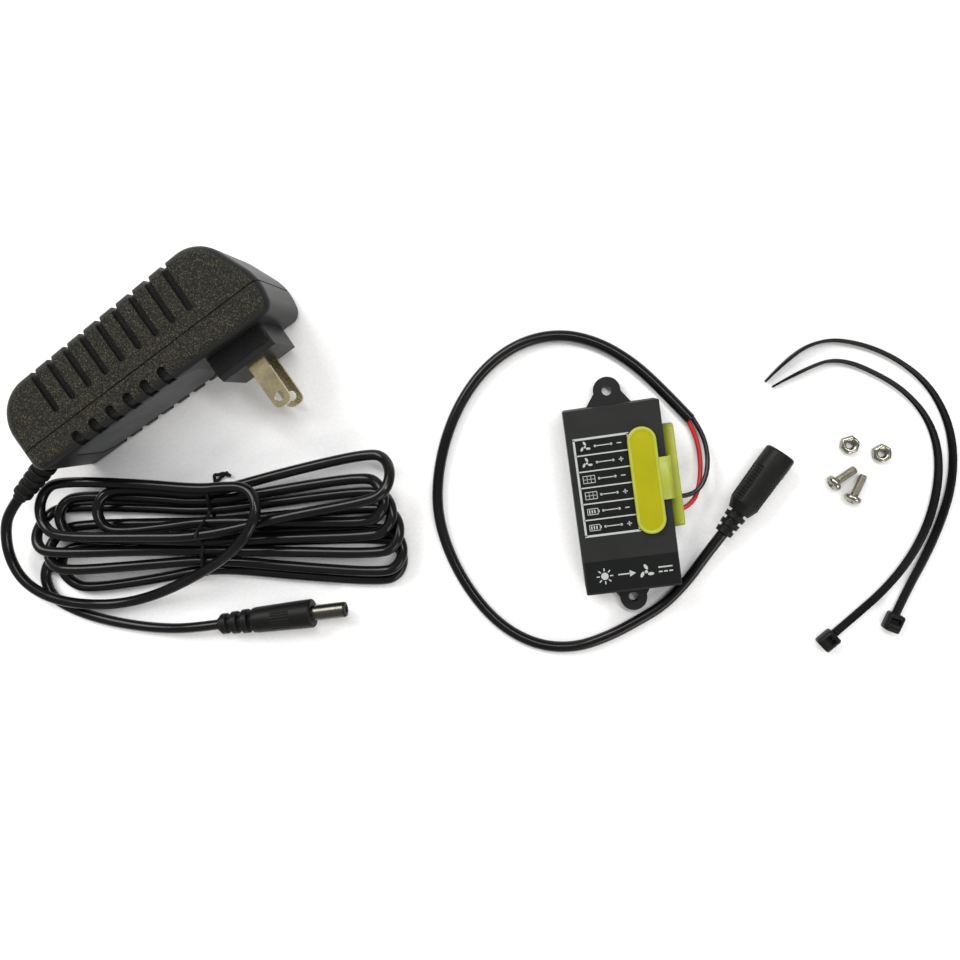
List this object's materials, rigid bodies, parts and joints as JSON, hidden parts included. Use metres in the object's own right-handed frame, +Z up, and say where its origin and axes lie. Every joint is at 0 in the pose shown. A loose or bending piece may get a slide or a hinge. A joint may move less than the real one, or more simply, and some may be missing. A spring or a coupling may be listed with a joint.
{
  "type": "solar attic fan power kit",
  "caption": "Power kit of a solar attic fan: wall supply with barrel plug on a tied hank, screw-terminal controller with jack lead, cable ties, screws and nuts.",
  "frame": {"origin": "middle of the controller's mounting face, midway between its two ear holes, on the surface that the whole kit lies on", "axes": "+Y along the controller towards the ear beside the lead's end, +X to the controller's wire side, +Z up off the mounting face"},
  "size_m": [0.3323, 0.1615, 0.034],
  "materials": {
    "case_plastic": "matt fine-grained black moulding",
    "silicone": "satin yellow-green silicone",
    "terminal_plastic": "satin green moulding",
    "tinned_brass": "tinned, satin",
    "zinc_steel": "zinc plated, satin",
    "circuit_board": "green solder mask",
    "chip_epoxy": "matt moulded epoxy",
    "capacitor_can": "glossy sleeve",
    "cord_pvc": "glossy black flexible jacket",
    "wire_black": "glossy black insulation",
    "wire_red": "satin red insulation",
    "bare_copper": "bare stranded copper",
    "moulded_pvc": "satin black flexible moulding",
    "insulator": "satin black moulding",
    "nickel": "bright nickel plate",
    "supply_plastic": "black moulding, spark-textured sides and satin ends",
    "label_film": "satin dark grey blank film",
    "blade_brass": "nickel-plated brass, satin",
    "ferrite": "matt grey ferrite",
    "coil_tape": "yellow winding tape",
    "sink_aluminium": "plain sheet",
    "fuse_glass": "glossy fuse can",
    "tie_wire": "satin black plastic-covered wire",
    "tie_nylon": "satin black nylon",
    "bright_steel": "bright nickel-plated steel"
  },
  "bodies": {
    "kit": {"blade_carrier": "insulator", "blocking_diodes": "chip_epoxy", "cable_tie_1": "tie_nylon", "cable_tie_2": "tie_nylon", "case_base": "case_plastic", "case_lid": "case_plastic", "control_board": "circuit_board", "control_chip": "chip_epoxy", "cord_boot": "moulded_pvc", "jack_body": "moulded_pvc", "jack_insulator": "insulator", "jack_pin": "tinned_brass", "jack_sleeve": "tinned_brass", "lead_jacket": "cord_pvc", "lead_wire_black": "wire_black", "lead_wire_red": "wire_red", "mounting_nuts": "bright_steel", "mounting_screws": "bright_steel", "plug_barrel": "nickel", "plug_body": "moulded_pvc", "plug_contact": "tinned_brass", "plug_insulator": "insulator", "power_transistors": "chip_epoxy", "side_seal": "silicone", "smoothing_capacitors": "capacitor_can", "supply_back_cover": "supply_plastic", "supply_blades": "blade_brass", "supply_board": "circuit_board", "supply_bobbin": "insulator", "supply_bridge": "chip_epoxy", "supply_cord_hank": "cord_pvc", "supply_cord_out": "cord_pvc", "supply_cord_tail": "cord_pvc", "supply_filter_choke": "ferrite", "supply_front_cover": "supply_plastic", "supply_fuse": "fuse_glass", "supply_heat_sink": "sink_aluminium", "supply_input_capacitor": "capacitor_can", "supply_label": "label_film", "supply_output_capacitors": "capacitor_can", "supply_switch": "chip_epoxy", "supply_transformer_coil": "coil_tape", "supply_transformer_core": "ferrite", "terminal_bars": "tinned_brass", "terminal_housing": "terminal_plastic", "twist_tie": "tie_wire", "wire_tails": "bare_copper"},
    "flap": {"cover_flap": "silicone"},
    "screw_1": {"terminal_screw_1": "zinc_steel"},
    "cage_1": {"clamp_cage_1": "zinc_steel"},
    "screw_2": {"terminal_screw_2": "zinc_steel"},
    "cage_2": {"clamp_cage_2": "zinc_steel"},
    "screw_3": {"terminal_screw_3": "zinc_steel"},
    "cage_3": {"clamp_cage_3": "zinc_steel"},
    "screw_4": {"terminal_screw_4": "zinc_steel"},
    "cage_4": {"clamp_cage_4": "zinc_steel"},
    "screw_5": {"terminal_screw_5": "zinc_steel"},
    "cage_5": {"clamp_cage_5": "zinc_steel"},
    "screw_6": {"terminal_screw_6": "zinc_steel"},
    "cage_6": {"clamp_cage_6": "zinc_steel"}
  },
  "joints": [
    {"name": "flap_hinge", "type": "hinge", "parent": "kit", "child": "flap", "pos_m": [0.01635, 0.005, 0.0156], "axis": [0, 1, 0], "range_deg": [0, 150]},
    {"name": "screw_1_turn", "type": "hinge", "parent": "kit", "child": "screw_1", "pos_m": [0.0084, 0.0177, 0.0127], "axis": [0, 0, 1], "range_deg": [0, 1081]},
    {"name": "cage_1_drop", "type": "slide", "parent": "kit", "child": "cage_1", "axis": [0, 0, -1], "range_m": [0, 0.0015]},
    {"name": "screw_2_turn", "type": "hinge", "parent": "kit", "child": "screw_2", "pos_m": [0.0084, 0.01262, 0.0127], "axis": [0, 0, 1], "range_deg": [0, 1081]},
    {"name": "cage_2_drop", "type": "slide", "parent": "kit", "child": "cage_2", "axis": [0, 0, -1], "range_m": [0, 0.0015]},
    {"name": "screw_3_turn", "type": "hinge", "parent": "kit", "child": "screw_3", "pos_m": [0.0084, 0.00754, 0.0127], "axis": [0, 0, 1], "range_deg": [0, 1081]},
    {"name": "cage_3_drop", "type": "slide", "parent": "kit", "child": "cage_3", "axis": [0, 0, -1], "range_m": [0, 0.0015]},
    {"name": "screw_4_turn", "type": "hinge", "parent": "kit", "child": "screw_4", "pos_m": [0.0084, 0.00246, 0.0127], "axis": [0, 0, 1], "range_deg": [0, 1081]},
    {"name": "cage_4_drop", "type": "slide", "parent": "kit", "child": "cage_4", "axis": [0, 0, -1], "range_m": [0, 0.0015]},
    {"name": "screw_5_turn", "type": "hinge", "parent": "kit", "child": "screw_5", "pos_m": [0.0084, -0.00262, 0.0127], "axis": [0, 0, 1], "range_deg": [0, 1081]},
    {"name": "cage_5_drop", "type": "slide", "parent": "kit", "child": "cage_5", "axis": [0, 0, -1], "range_m": [0, 0.0015]},
    {"name": "screw_6_turn", "type": "hinge", "parent": "kit", "child": "screw_6", "pos_m": [0.0084, -0.0077, 0.0127], "axis": [0, 0, 1], "range_deg": [0, 1081]},
    {"name": "cage_6_drop", "type": "slide", "parent": "kit", "child": "cage_6", "axis": [0, 0, -1], "range_m": [0, 0.0015]}
  ],
  "couplings": [
    {"joint": "screw_1_turn", "follows": "cage_1_drop", "rad_per_m": 12566},
    {"joint": "screw_2_turn", "follows": "cage_2_drop", "rad_per_m": 12566},
    {"joint": "screw_3_turn", "follows": "cage_3_drop", "rad_per_m": 12566},
    {"joint": "screw_4_turn", "follows": "cage_4_drop", "rad_per_m": 12566},
    {"joint": "screw_5_turn", "follows": "cage_5_drop", "rad_per_m": 12566},
    {"joint": "screw_6_turn", "follows": "cage_6_drop", "rad_per_m": 12566}
  ]
}
